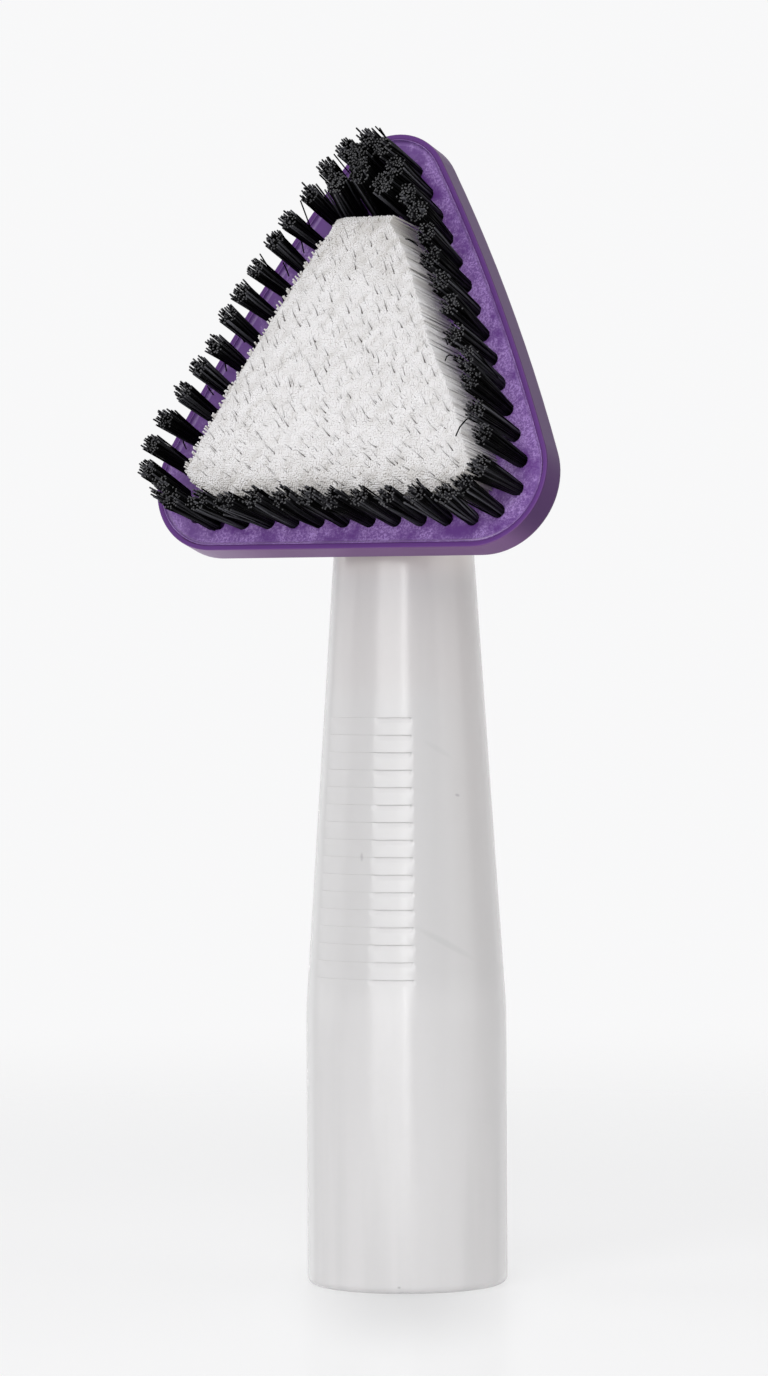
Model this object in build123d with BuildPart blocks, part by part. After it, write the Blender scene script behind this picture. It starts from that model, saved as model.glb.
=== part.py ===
"""Crevice brush: a hollow tapered pole handle that carries a tilted triangular bristle head.

Millimetres, +Z up. The origin is on the handle's axis at its bottom rim, and the bristles face -Y.
"""
from build123d import *

import os
from math import atan2, cos, degrees, hypot, pi, radians, sin, sqrt, tan

# Handle, a tapered tube that is open at the bottom and takes a pole
handle_radius = 17.5
handle_wall = 1.6
straight_length = 48.0
shoulder_height = 130.0
shoulder_radius = 12.1
waist_blend = 70.0
rim_round = 0.6
taper_lead = 2.0
bore_depth = straight_length - taper_lead

# Plug at the handle's top, which the head's sleeve goes over
plug_step = 1.7
plug_radius = shoulder_radius - plug_step
plug_length = 17.0
plug_chamfer = 1.0
web_thickness = 5.6

# Grip steps moulded into the handle's front
step_count = 16
step_pitch = 3.0
step_start_gap = 6.0
step_first_height = straight_length + step_start_gap
step_depth = 0.45
step_land = 0.6
grip_sweep = 68.0

# Head, a rounded triangle that leans back over the handle
head_tilt = 16.4
head_drop = 2.0
head_base_height = shoulder_height - head_drop
sharp_half_width = 44.8
sharp_height = 84.4
side_bow = 3.15
apex_radius = 11.4
base_corner_radius = 12.9
back_wall = 1.8
rim_width = 1.0
ledge_width = 1.2
rim_edge_round = 0.3
back_edge_round = 1.3

# Sleeve and gussets on the back of the head
sleeve_lip = 0.3
sleeve_radius = shoulder_radius + sleeve_lip
sleeve_top_round = 2.4
sleeve_roof = 2.2
gusset_thickness = 2.0
gusset_spacing = 15.0
gusset_low = 5.0
gusset_high = 54.0
gusset_back = 5.0

# Bristle plate, pressed into the head's rim
plate_recess = 0.8
plate_thickness = 2.0
hole_clearance = 0.05

# Tufts: black ones stand in one line round the edge, white ones fill the middle
mat_thickness = 0.6
mat_edge = 0.2
mat_gap = 0.8
tuft_margin = 5.2
black_pitch = 5.03
black_height = 12.6
white_height = 8.2
white_pitch = 5.2
white_low = 12.1
white_row_count = 10
white_margin = 7.4
white_top_half_width = 3.8
inner_black_spread = 4.9
inner_black_low_share = 0.33
inner_black_high_share = 0.67
strand_width = 0.62
strand_gap = 0.14
strand_fan = 0.73

# Screw that holds the sleeve to the plug
screw_radius = 1.5
screw_length = 12.0
screw_head_radius = 3.1
screw_head_height = 2.0
screw_head_round = 0.8
screw_rise = 9.0
screw_height = shoulder_height + screw_rise
screw_recess_length = 3.4
screw_recess_width = 0.8
screw_recess_depth = 1.1
boss_radius = 4.2
boss_stand = 0.8

# Least wall between the plug's bore and the pocket in the head, and the clearances
neck_wall = 2.4
fit_gap = 0.1
screw_gap = 0.05
screw_clearance = 0.4
cut_overrun = 2.0

# Depths behind the head's rim, from the plate down to the back, and the heights of the neck's fit
plate_under = plate_recess + plate_thickness
mat_under = plate_under + mat_thickness
pocket_floor = mat_under + mat_gap
head_depth = pocket_floor + back_wall
plug_top = shoulder_height + plug_length
bore_top = plug_top + fit_gap
sleeve_top = bore_top + sleeve_roof

# The head's own plane: its normal is the way the bristles point, and its Y runs up to the apex
tilt = radians(head_tilt)
head_forward = (
    plug_radius + fit_gap + neck_wall + (bore_top - head_base_height) * tan(tilt) + pocket_floor / cos(tilt)
)
head_plane = Plane(
    origin=(0, -head_forward, head_base_height),
    x_dir=(1, 0, 0),
    z_dir=(0, -cos(tilt), sin(tilt)),
)
head_axis = Axis(head_plane.origin, head_plane.z_dir)

# The outline's arcs share their centres at every margin
side_chord = hypot(sharp_half_width, sharp_height)
side_radius = (side_chord**2 / 4 + side_bow**2) / (2 * side_bow)
side_center = Vector(
    sharp_half_width / 2 - (side_radius - side_bow) * sharp_height / side_chord,
    sharp_height / 2 - (side_radius - side_bow) * sharp_half_width / side_chord,
)
apex_center = Vector(0, side_center.Y + sqrt((side_radius - apex_radius) ** 2 - side_center.X**2))
corner_center = Vector(
    side_center.X
    + sqrt((side_radius - base_corner_radius) ** 2 - (base_corner_radius - side_center.Y) ** 2),
    base_corner_radius,
)
apex_angle = atan2(apex_center.Y - side_center.Y, apex_center.X - side_center.X)
corner_angle = atan2(corner_center.Y - side_center.Y, corner_center.X - side_center.X)


def outline(margin):
    """The head's rounded triangle as a face, pulled in by a margin."""
    with BuildSketch(mode=Mode.PRIVATE) as face:
        with BuildLine():
            CenterArc(
                apex_center, apex_radius - margin, degrees(apex_angle), 180 - 2 * degrees(apex_angle)
            )
            side = CenterArc(
                side_center, side_radius - margin, degrees(corner_angle), degrees(apex_angle - corner_angle)
            )
            corner = CenterArc(
                corner_center, base_corner_radius - margin, -90, 90 + degrees(corner_angle)
            )
            mirror(side, about=Plane.YZ)
            mirror(corner, about=Plane.YZ)
            Line((-corner_center.X, margin), (corner_center.X, margin))
        make_face()
    return face.sketch


def half_width(height, margin):
    """Half the outline's width between its corners, pulled in by a margin."""
    return side_center.X + sqrt((side_radius - margin) ** 2 - (height - side_center.Y) ** 2)


def height_of(width, margin):
    """The height at which half the outline's width, pulled in by a margin, is the given one."""
    return side_center.Y + sqrt((side_radius - margin) ** 2 - (width - side_center.X) ** 2)


def outline_lengths(margin):
    """Lengths from the apex to the middle of the base: apex arc, side, corner and half the base."""
    return (
        (apex_radius - margin) * (pi / 2 - apex_angle),
        (side_radius - margin) * (apex_angle - corner_angle),
        (base_corner_radius - margin) * (pi / 2 + corner_angle),
        corner_center.X,
    )


def outline_point(distance, margin):
    """The point on the outline a distance clockwise from its apex."""
    apex, side, corner, base = outline_lengths(margin)
    half = apex + side + corner + base
    if distance > half:
        across = outline_point(2 * half - distance, margin)
        return Vector(-across.X, across.Y)
    if distance <= apex:
        center, radius, turned = apex_center, apex_radius - margin, pi / 2
    elif distance <= apex + side:
        center, radius, turned = side_center, side_radius - margin, apex_angle
        distance -= apex
    elif distance <= apex + side + corner:
        center, radius, turned = corner_center, base_corner_radius - margin, corner_angle
        distance -= apex + side
    else:
        return Vector(half - distance, margin)
    turned -= distance / radius
    return center + Vector(cos(turned), sin(turned)) * radius


def behind_head(height, depth):
    """Where a point up the head's middle, and a depth behind its rim, lies in the YZ plane."""
    return (
        -head_forward + height * sin(tilt) + depth * cos(tilt),
        head_base_height + height * cos(tilt) - depth * sin(tilt),
    )


def taper_radius(height):
    """The handle's outer radius at a height on its taper."""
    slope = (handle_radius - shoulder_radius) / (shoulder_height - straight_length)
    return handle_radius - (height - straight_length) * slope


# Tuft places, row by row
apex_arc, side_arc, corner_arc, base_half = outline_lengths(tuft_margin)
line_length = 2 * (apex_arc + side_arc + corner_arc + base_half)
black_count = round(line_length / black_pitch)
black_step = line_length / black_count
corner_middle = apex_arc + side_arc + corner_arc / 2
black_line = [outline_point(index * black_step, tuft_margin) for index in range(black_count)]
right_count = int(corner_middle / black_step)

# The white field ends where it has narrowed to its flat top, and black tufts fill the tip above it
white_inset = tuft_margin + white_margin
white_high = height_of(white_top_half_width, white_inset)
white_row_spacing = (white_high - white_low) / (white_row_count - 1)
tip_rise = black_line[0].Y - white_high
inner_black_low = white_high + inner_black_low_share * tip_rise
inner_black_high = white_high + inner_black_high_share * tip_rise

black_rows = {
    "black_row_right": black_line[1 : right_count + 1],
    "black_row_bottom": black_line[right_count + 1 : black_count - right_count],
    "black_row_left": black_line[black_count - right_count :],
    "black_apex_group": [
        Vector(-inner_black_spread, inner_black_low),
        Vector(0, inner_black_low),
        Vector(inner_black_spread, inner_black_low),
        Vector(0, inner_black_high),
        black_line[0],
    ],
}
white_rows = {}
for row in range(white_row_count):
    row_height = white_low + row * white_row_spacing
    row_half = half_width(row_height, white_inset)
    row_steps = round(2 * row_half / white_pitch)
    white_rows[f"white_row_{row + 1:02d}"] = [
        Vector(row_half * (2 * index / row_steps - 1), row_height) for index in range(row_steps + 1)
    ]

# The strands' feet stand on the mat that they are melted into, and the holes clear their fan
mat_plane = head_plane.offset(-mat_under)
strand_offset = (strand_width + strand_gap) / 2
fan_in_plate = strand_fan * (mat_under - plate_recess) / (mat_under + white_height)
hole_radius = sqrt(2) * (strand_offset + strand_width / 2 + fan_in_plate) + hole_clearance
mat_radius = hole_radius + mat_edge


def tuft(place, height):
    """Four square strands that fan out from one hole of the plate."""
    length = mat_under + height
    strands = []
    for side in (-1, 1):
        for end in (-1, 1):
            shift = Location((place.X + side * strand_offset, place.Y + end * strand_offset))
            foot = mat_plane * shift * Rectangle(strand_width, strand_width)
            lean = mat_plane.x_dir * (side * strand_fan) + mat_plane.y_dir * (end * strand_fan)
            strands.append(Solid.extrude(foot.face(), lean + mat_plane.z_dir * length))
    return strands


def tuft_row(places, height):
    """A row of tufts, fused to the strip of melted bristle behind the plate."""
    strands = [strand for place in places for strand in tuft(place, height)]
    with BuildPart() as row:
        with BuildSketch(mat_plane):
            for start, end in zip(places, places[1:]):
                step = end - start
                with Locations((start + end) * 0.5):
                    SlotCenterToCenter(
                        step.length, 2 * mat_radius, rotation=degrees(atan2(step.Y, step.X))
                    )
        extrude(amount=mat_thickness)
        add(strands)
    return row.part


# Handle
with BuildPart() as handle:
    with BuildSketch(Plane.XZ) as wall:
        with BuildLine():
            Polyline(
                (handle_radius - handle_wall, 0),
                (handle_radius, 0),
                (handle_radius, straight_length),
                (shoulder_radius, shoulder_height),
                (plug_radius, shoulder_height),
                (plug_radius, plug_top),
                (0, plug_top),
                (0, plug_top - handle_wall),
                (plug_radius - handle_wall, plug_top - handle_wall),
                (plug_radius - handle_wall, shoulder_height),
                (shoulder_radius - handle_wall, shoulder_height - handle_wall),
                (handle_radius - handle_wall, bore_depth),
                close=True,
            )
        make_face()
        waist = wall.vertices().sort_by_distance((handle_radius, straight_length))[0]
        fillet(waist, waist_blend)
        rim = wall.vertices().sort_by_distance((handle_radius, 0))[0]
        fillet(rim, rim_round)
        nose = wall.vertices().sort_by_distance((plug_radius, plug_top))[0]
        chamfer(nose, plug_chamfer)
    revolve(axis=Axis.Z)

    # Web across the plug, which the screw bites into
    web_reach = 2 * (plug_radius - handle_wall / 2)
    with BuildSketch(Plane.XY.offset(shoulder_height)):
        Rectangle(web_thickness, web_reach)
    extrude(amount=plug_length - handle_wall / 2)
    with BuildSketch(Plane.XZ.offset(-plug_radius - cut_overrun)):
        with Locations((0, screw_height)):
            Circle(screw_radius + screw_gap)
    extrude(amount=screw_length + cut_overrun, mode=Mode.SUBTRACT)

    # Grip steps, each a shallow slope that ends in a ledge
    grip_start = radians(-90 - grip_sweep / 2)
    grip_plane = Plane(
        origin=(0, 0, 0),
        x_dir=(cos(grip_start), sin(grip_start), 0),
        z_dir=(sin(grip_start), -cos(grip_start), 0),
    )
    with BuildSketch(grip_plane):
        for index in range(step_count):
            ledge = step_first_height + index * step_pitch
            slope_end = ledge - step_pitch + step_land
            with BuildLine():
                Polyline(
                    (taper_radius(ledge) - step_depth, ledge),
                    (taper_radius(slope_end), slope_end),
                    (taper_radius(ledge) + step_depth, ledge),
                    close=True,
                )
            make_face()
    revolve(axis=Axis.Z, revolution_arc=grip_sweep, mode=Mode.SUBTRACT)
handle.part.label = "handle"

# Head shell: a shallow pan with the sleeve and its gussets on the back
with BuildPart() as head_shell:
    with BuildSketch(head_plane.offset(-head_depth)):
        add(outline(0))
    extrude(amount=head_depth)
    back_face = head_shell.faces().filter_by(head_plane).sort_by(head_axis)[0]
    fillet(back_face.edges(), back_edge_round)

    with BuildSketch(Plane.XZ) as sleeve:
        with BuildLine():
            Polyline(
                (0, shoulder_height),
                (sleeve_radius, shoulder_height),
                (sleeve_radius, sleeve_top),
                (0, sleeve_top),
                close=True,
            )
        make_face()
        sleeve_edge = sleeve.vertices().sort_by_distance((sleeve_radius, sleeve_top))[0]
        fillet(sleeve_edge, sleeve_top_round)
    revolve(axis=Axis.Z)

    # Gussets from the sleeve up the back of the pan
    bury = head_depth - back_wall / 2
    for side in (-1, 1):
        gusset_plane = Plane.YZ.offset(side * gusset_spacing / 2 - gusset_thickness / 2)
        with BuildSketch(gusset_plane):
            with BuildLine():
                Polyline(
                    behind_head(gusset_low, bury),
                    behind_head(gusset_high, bury),
                    (gusset_back, sleeve_top - sleeve_top_round),
                    (gusset_back, shoulder_height),
                    (0, shoulder_height),
                    close=True,
                )
            make_face()
        extrude(amount=gusset_thickness)

    # Boss with a flat seat for the screw's head
    seat = sleeve_radius + boss_stand
    with BuildSketch(Plane.XZ.offset(-seat)):
        with Locations((0, screw_height)):
            Circle(boss_radius)
    extrude(amount=seat - plug_radius)

    # Pocket for the plate, and a deeper one for the mat, which leaves a ledge all round
    with BuildSketch(head_plane.offset(-plate_under)):
        add(outline(rim_width))
    extrude(amount=plate_under + cut_overrun, mode=Mode.SUBTRACT)
    with BuildSketch(head_plane.offset(-pocket_floor)):
        add(outline(rim_width + ledge_width))
    extrude(amount=pocket_floor, mode=Mode.SUBTRACT)
    rim_face = head_shell.faces().filter_by(head_plane).sort_by(head_axis)[-1]
    fillet(rim_face.edges(), rim_edge_round)

    # Bore for the plug and hole for the screw
    with BuildSketch(Plane.XY.offset(shoulder_height - cut_overrun)):
        Circle(plug_radius + fit_gap)
    extrude(amount=bore_top - shoulder_height + cut_overrun, mode=Mode.SUBTRACT)
    with BuildSketch(Plane.XZ.offset(-seat - cut_overrun)):
        with Locations((0, screw_height)):
            Circle(screw_radius + screw_clearance)
    extrude(amount=seat + cut_overrun, mode=Mode.SUBTRACT)
head_shell.part.label = "head_shell"

# Bristle plate with one hole for each tuft
all_places = [place for row in (*black_rows.values(), *white_rows.values()) for place in row]
with BuildPart() as bristle_plate:
    with BuildSketch(head_plane.offset(-plate_under)):
        add(outline(rim_width + fit_gap))
        with Locations(*all_places):
            Circle(hole_radius, mode=Mode.SUBTRACT)
    extrude(amount=plate_thickness)
bristle_plate.part.label = "bristle_plate"

# Screw, driven in from behind
with BuildPart() as neck_screw:
    with BuildSketch(Plane.XZ.offset(-seat)):
        with Locations((0, screw_height)):
            Circle(screw_head_radius)
    extrude(amount=-screw_head_height)
    fillet(neck_screw.faces().sort_by(Axis.Y)[-1].edges(), screw_head_round)
    with BuildSketch(Plane.XZ.offset(-seat - screw_head_height)):
        with Locations((0, screw_height)):
            Rectangle(screw_recess_length, screw_recess_width)
            Rectangle(screw_recess_width, screw_recess_length)
    extrude(amount=screw_recess_depth, mode=Mode.SUBTRACT)
    with BuildSketch(Plane.XZ.offset(-seat)):
        with Locations((0, screw_height)):
            Circle(screw_radius)
    extrude(amount=screw_length)
neck_screw.part.label = "neck_screw"

os.makedirs("parts", exist_ok=True)
export_step(handle.part, "parts/handle.step")
export_step(head_shell.part, "parts/head_shell.step")
export_step(bristle_plate.part, "parts/bristle_plate.step")
export_step(neck_screw.part, "parts/neck_screw.step")
for rows, height in ((black_rows, black_height), (white_rows, white_height)):
    for name, places in rows.items():
        row_part = tuft_row(places, height)
        row_part.label = name
        export_step(row_part, f"parts/{name}.step")

print("strands", 4 * len(all_places), "in", len(all_places), "tufts")
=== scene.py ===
"""Crevice brush: the looks of a tilted triangular brush head on a translucent tapered handle."""

from math import atan2, cos, pi, radians, sin, sqrt

import bpy
import numpy as np
from bpy.props import FloatProperty, FloatVectorProperty, IntProperty, PointerProperty
from mathutils import Matrix, Vector


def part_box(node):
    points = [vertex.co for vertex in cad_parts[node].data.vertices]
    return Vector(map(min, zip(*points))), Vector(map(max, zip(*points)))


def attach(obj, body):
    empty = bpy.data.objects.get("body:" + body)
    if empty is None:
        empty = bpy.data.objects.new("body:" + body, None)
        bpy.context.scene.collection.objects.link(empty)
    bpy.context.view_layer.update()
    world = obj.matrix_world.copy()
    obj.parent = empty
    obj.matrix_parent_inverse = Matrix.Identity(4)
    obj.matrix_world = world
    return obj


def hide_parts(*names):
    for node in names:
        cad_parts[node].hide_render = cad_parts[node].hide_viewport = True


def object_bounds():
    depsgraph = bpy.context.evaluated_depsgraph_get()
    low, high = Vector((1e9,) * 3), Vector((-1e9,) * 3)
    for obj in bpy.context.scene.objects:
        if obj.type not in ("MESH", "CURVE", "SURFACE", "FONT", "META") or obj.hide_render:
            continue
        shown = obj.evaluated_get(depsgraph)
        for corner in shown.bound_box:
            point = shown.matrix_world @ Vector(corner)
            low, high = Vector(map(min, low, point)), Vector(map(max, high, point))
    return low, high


bl_info = {
    "name": "Crevice Brush",
    "version": (1, 0, 0),
    "blender": (4, 5, 0),
    "location": "View3D > Sidebar > Brush",
    "description": "Builds a crevice brush with a bristled triangular head round its CAD frame",
    "category": "Object",
}

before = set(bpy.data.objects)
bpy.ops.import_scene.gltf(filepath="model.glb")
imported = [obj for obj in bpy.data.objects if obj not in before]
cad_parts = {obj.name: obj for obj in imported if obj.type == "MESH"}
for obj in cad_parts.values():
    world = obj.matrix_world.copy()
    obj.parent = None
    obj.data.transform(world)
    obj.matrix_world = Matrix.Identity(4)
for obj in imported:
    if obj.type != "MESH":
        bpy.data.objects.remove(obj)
cad_low, cad_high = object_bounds()

MM = 0.001
HEAD_TILT = radians(16.4)
GOLDEN_TURN = pi * (3 - sqrt(5))


def setting(kind, **fixed):
    """Makes a function that declares one kind of setting by its name, description and default."""
    return lambda name, description, value: kind(name=name, description=description, default=value, **fixed)


size = setting(FloatProperty, min=0.0, subtype="DISTANCE", unit="LENGTH")
turn = setting(FloatProperty, subtype="ANGLE", unit="ROTATION")
colour = setting(FloatVectorProperty, size=3, min=0, max=1, subtype="COLOR")
amount = setting(IntProperty, min=1)


class HandleSettings(bpy.types.PropertyGroup):
    """The translucent handle."""

    radius: size("Radius", "Outer radius of the straight lower part", cad_high.y)
    wall: size("Wall", "Thickness of the tube's wall", 1.6 * MM)
    straight_length: size("Straight length", "Height of the part that doesn't taper", 48 * MM)
    shoulder_radius: size("Shoulder radius", "Outer radius at the top of the taper", 12.1 * MM)
    shoulder_height: size("Shoulder height", "Height at which the plug begins", 130 * MM)
    plug_radius: size("Plug radius", "Radius of the plug inside the head's sleeve", 10.4 * MM)
    step_pitch: size("Step pitch", "Distance between grip steps", 3 * MM)
    step_first: size("First step", "Height of the lowest grip step's ledge", 54 * MM)
    step_depth: size("Step depth", "How far a ledge is cut into the handle", 0.32 * MM)
    step_count: amount("Steps", "Number of grip steps", 16)
    tint: colour("Plastic", "Colour of the translucent plastic", (0.84, 0.83, 0.835))


class HeadSettings(bpy.types.PropertyGroup):
    """The purple head shell and its bristle plate."""

    shell: colour("Plate", "Deep purple of the bristle plate", (0.132, 0.046, 0.248))
    bloom: colour("Bloom", "Pale bloom on the plate", (0.43, 0.27, 0.63))
    rim: colour("Rim", "Deep purple of the shell's rim", (0.118, 0.042, 0.205))
    wall: colour("Wall", "Greyer purple of the shell's walls", (0.15, 0.07, 0.185))
    # Painted highlight along the plate's fillet
    glint: colour("Glint", "Pale line along the plate's fillet", (0.8, 0.68, 0.86))
    steel: colour("Steel", "Colour of the neck screw", (0.56, 0.56, 0.57))


class BristleSettings(bpy.types.PropertyGroup):
    """The black tufts and the white field."""

    black_height: size("Black height", "Height of the black tufts above the rim", 12.6 * MM)
    black_filament: size("Black filament", "Thickness of a black filament", 0.32 * MM)
    black_strands: amount("Black strands", "Filaments in a black tuft", 50)
    black_root: size("Black root", "Radius of a black tuft at the plate", 1.35 * MM)
    black_tip: size("Black tip", "Radius of a black tuft at its cut end", 2.1 * MM)
    white_height: size("White height", "Height of the white field above the rim", 8.2 * MM)
    white_filament: size("White filament", "Thickness of a white filament", 0.33 * MM)
    white_spacing: size("White spacing", "Distance between white filaments", 0.31 * MM)
    white_border: size("White border", "How far the white field reaches past its outer tufts", 1.8 * MM)
    black: colour("Black", "Colour of the black filaments", (0.0022, 0.0022, 0.0025))
    black_end: colour("Black ends", "Colour of the black filaments' cut ends", (0.088, 0.088, 0.092))
    white: colour("White", "Colour of the white filaments", (0.75, 0.74, 0.748))
    # Dark hairs painting the small dark dashes of shade on the white face
    stain: colour("Stain", "Colour of the odd stained white filament", (0.05, 0.038, 0.03))


class StageSettings(bpy.types.PropertyGroup):
    """The camera, the floor and the light."""

    view_distance: size("View distance", "Camera's distance from the handle's axis", 899.4 * MM)
    view_height: size("View height", "Camera's height above the floor", 113.8 * MM)
    view_left: size("View left", "How far left of the handle's axis the camera stands", 3.6 * MM)
    view_turn: turn("View turn", "Camera's turn round the brush", radians(30))
    view_pitch: turn("View pitch", "How far the camera looks down", radians(0.63))
    view_roll: turn("View roll", "Camera's roll", radians(0.3))
    lens: FloatProperty(name="Lens", description="Focal length for a 36 mm tall frame", default=134.7, min=1)
    background: colour("Background", "Colour of the floor and the backdrop", (0.94, 0.94, 0.945))


class Wire:
    """A shader socket that adds Math nodes when it is used in an expression."""

    def __init__(self, paint, socket):
        self.paint = paint
        self.socket = socket

    def math(self, operation, *others, clamp=False):
        values = dict(enumerate([self, *others]))
        return self.paint.node("Math", values, operation=operation, use_clamp=clamp)

    def __add__(self, other):
        return self.math("ADD", other)

    __radd__ = __add__

    def __sub__(self, other):
        return self.math("SUBTRACT", other)

    def __rsub__(self, other):
        return self.paint.node("Math", {0: other, 1: self}, operation="SUBTRACT")

    def __mul__(self, other):
        return self.math("MULTIPLY", other)

    def ramp(self, low, high):
        """0 below low, 1 above high and smooth between them."""
        values = {"Value": self, "From Min": low, "From Max": high}
        return self.paint.node("MapRange", values, interpolation_type="SMOOTHSTEP")


class Paint:
    """The node tree of one material or world, cleared and ready for its shader."""

    def __init__(self, name, kind="materials"):
        self.owner = getattr(bpy.data, kind).new(name)
        self.owner.use_nodes = True
        self.tree = self.owner.node_tree
        self.tree.nodes.clear()

    def node(self, kind, values=None, output=0, **settings):
        """Adds a node, sets it up, links or sets its sockets and returns one of its outputs."""
        made = self.tree.nodes.new("ShaderNode" + kind)
        for name, value in settings.items():
            setattr(made, name, value)
        for name, value in (values or {}).items():
            if isinstance(value, Wire):
                self.tree.links.new(value.socket, made.inputs[name])
            else:
                made.inputs[name].default_value = value
        return Wire(self, made.outputs[output])

    def place(self, scale=(1, 1, 1)):
        """Object coordinates, stretched."""
        where = self.node("TexCoord", output="Object")
        return self.node("Mapping", {"Vector": where, "Scale": scale})

    def noise(self, where, scale, detail=2.0, roughness=0.5):
        values = {"Vector": where, "Scale": scale, "Detail": detail, "Roughness": roughness}
        return self.node("TexNoise", values)

    def part(self, vector, axis):
        """One of a vector's X, Y and Z."""
        return self.node("SeparateXYZ", {"Vector": vector}, output=axis)

    def normal(self):
        """The way that the surface faces."""
        return self.node("NewGeometry", output="Normal")

    def facing(self, way):
        """How well the surface faces one way, from -1 to 1."""
        values = {0: self.normal(), 1: way}
        return self.node("VectorMath", values, "Value", operation="DOT_PRODUCT")

    def length(self, vector):
        return self.node("VectorMath", {0: vector}, "Value", operation="LENGTH")

    def patch(self, where, centre, angles, reach):
        """How far away a soft patch's centre is, with 1 at the edge of its turned ellipse."""
        values = {"Vector": where, "Location": centre, "Rotation": angles, "Scale": reach}
        return self.length(self.node("Mapping", values, vector_type="TEXTURE"))

    def blend(self, mask, low, high):
        """A colour between two, by a mask."""
        low, high = (value if isinstance(value, Wire) else rgba(value) for value in (low, high))
        return self.node("Mix", {0: mask, 6: low, 7: high}, output=2, data_type="RGBA")

    def attribute(self, name):
        return self.node("Attribute", output="Fac", attribute_name=name)

    def bump(self, height, strength, distance):
        return self.node("Bump", {"Height": height, "Strength": strength, "Distance": distance})

    def surface(self, values):
        """Ends the tree in a Principled shader."""
        self.finish(self.node("BsdfPrincipled", values, output="BSDF"))
        return self.owner

    def finish(self, shader, kind="OutputMaterial"):
        """Ends the tree in a shader of any kind."""
        out = self.tree.nodes.new("ShaderNode" + kind)
        self.tree.links.new(shader.socket, out.inputs["Surface"])


def rgba(value):
    return (*value, 1)


def toned(value, factors):
    """A colour made darker or lighter, by one factor or by one for each channel."""
    return [min(1, c * f) for c, f in zip(value, np.broadcast_to(factors, 3).tolist())]


def deselect():
    """Leaves edit mode and selects nothing."""
    if bpy.context.object and bpy.context.object.mode != "OBJECT":
        bpy.ops.object.mode_set(mode="OBJECT")
    bpy.ops.object.select_all(action="DESELECT")


def select(piece):
    """Leaves edit mode and selects one object alone."""
    deselect()
    piece.select_set(True)
    bpy.context.view_layer.objects.active = piece


def add_piece(name, mesh):
    """Links a mesh as an object and leaves it alone selected."""
    piece = bpy.data.objects.new(name, mesh)
    bpy.context.scene.collection.objects.link(piece)
    select(piece)
    return piece


def finish_piece(piece, material, slot, *nodes):
    """Paints the piece and lets it ride on the frame, in place of its CAD node if it has one."""
    piece.data.materials.append(material)
    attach(piece, "root")
    if nodes:
        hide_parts(*nodes)


def repaint(node, material):
    """Gives a CAD node a better material."""
    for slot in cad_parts[node].material_slots:
        slot.link = "OBJECT"
        slot.material = material


# The head's own frame: u runs right, v up to the apex, and d out along the bristles from the rim
HEAD_U = np.array((1, 0, 0))
HEAD_V = np.array((0, sin(HEAD_TILT), cos(HEAD_TILT)))
HEAD_D = np.array((0, -cos(HEAD_TILT), sin(HEAD_TILT)))
PLATE_RECESS = 0.8 * MM
PLATE_MARGIN = 1.1 * MM
ROOT_DEPTH = PLATE_RECESS + 0.3 * MM


def node_points(node):
    """A CAD node's points as an array."""
    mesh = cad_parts[node].data
    points = np.empty(len(mesh.vertices) * 3)
    mesh.vertices.foreach_get("co", points)
    return points.reshape(-1, 3)


def head_origin():
    """The middle of the base of the head's rim, worked out from the bristle plate."""
    points = node_points("bristle_plate")
    base = (points @ HEAD_V).min() - PLATE_MARGIN
    face = (points @ HEAD_D).max() + PLATE_RECESS
    return base * HEAD_V + face * HEAD_D


HEAD_ORIGIN = head_origin()


def to_head(points):
    return (points - HEAD_ORIGIN) @ np.column_stack((HEAD_U, HEAD_V, HEAD_D))


def from_head(points):
    return HEAD_ORIGIN + points @ np.stack((HEAD_U, HEAD_V, HEAD_D))


TUFT_CORNERS = 16
END_DEPTH = 0.1 * MM
# Tufts are told apart from the top of their row down, and the right one of a pair comes first
TAKEN_FIRST = (0.05, 1)


def tuft_places(node):
    """Where a CAD row's tufts stand, as (u, v) from the corners of their strands' ends."""
    points = to_head(node_points(node))
    ends = points[points[:, 2] > points[:, 2].max() - END_DEPTH][:, :2]
    ends = np.unique(np.round(ends, 6), axis=0)
    places = []
    while len(ends):
        outermost = ends[np.argmax(ends @ TAKEN_FIRST)]
        tuft = np.argsort(np.hypot(*(ends - outermost).T))[:TUFT_CORNERS]
        places.append(ends[tuft].mean(axis=0))
        ends = np.delete(ends, tuft, axis=0)
    return np.array(places)


END_BULGE = 0.012
HAIR_TAPER = 0.8


def unit_strand(sides, cuts, chamfer):
    """One strand modelled at unit size: its points, its faces, which faces end it and which one is cut."""
    deselect()
    bpy.ops.mesh.primitive_cylinder_add(vertices=sides, radius=1, depth=1, location=(0, 0, 0.5))
    strand = bpy.context.object
    bpy.ops.object.transform_apply(location=True)
    for face in strand.data.polygons:
        face.select = face.normal.z > 0.5
    bpy.ops.object.mode_set(mode="EDIT")
    bpy.ops.mesh.inset(thickness=chamfer)
    bpy.ops.transform.translate(value=(0, 0, END_BULGE))
    for cut in range(1, cuts + 1):
        bpy.ops.mesh.select_all(action="SELECT")
        bpy.ops.mesh.bisect(plane_co=(0, 0, cut / (cuts + 1)), plane_no=(0, 0, 1))
    bpy.ops.object.mode_set(mode="OBJECT")
    points = np.array([vertex.co for vertex in strand.data.vertices])
    faces = [tuple(face.vertices) for face in strand.data.polygons]
    flat = [abs(face.normal.z) > 0.2 for face in strand.data.polygons]
    cut_end = [face.normal.z > 0.99 and face.center.xy.length < 0.1 for face in strand.data.polygons]
    bpy.data.objects.remove(strand)
    return points, faces, flat, cut_end


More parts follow.
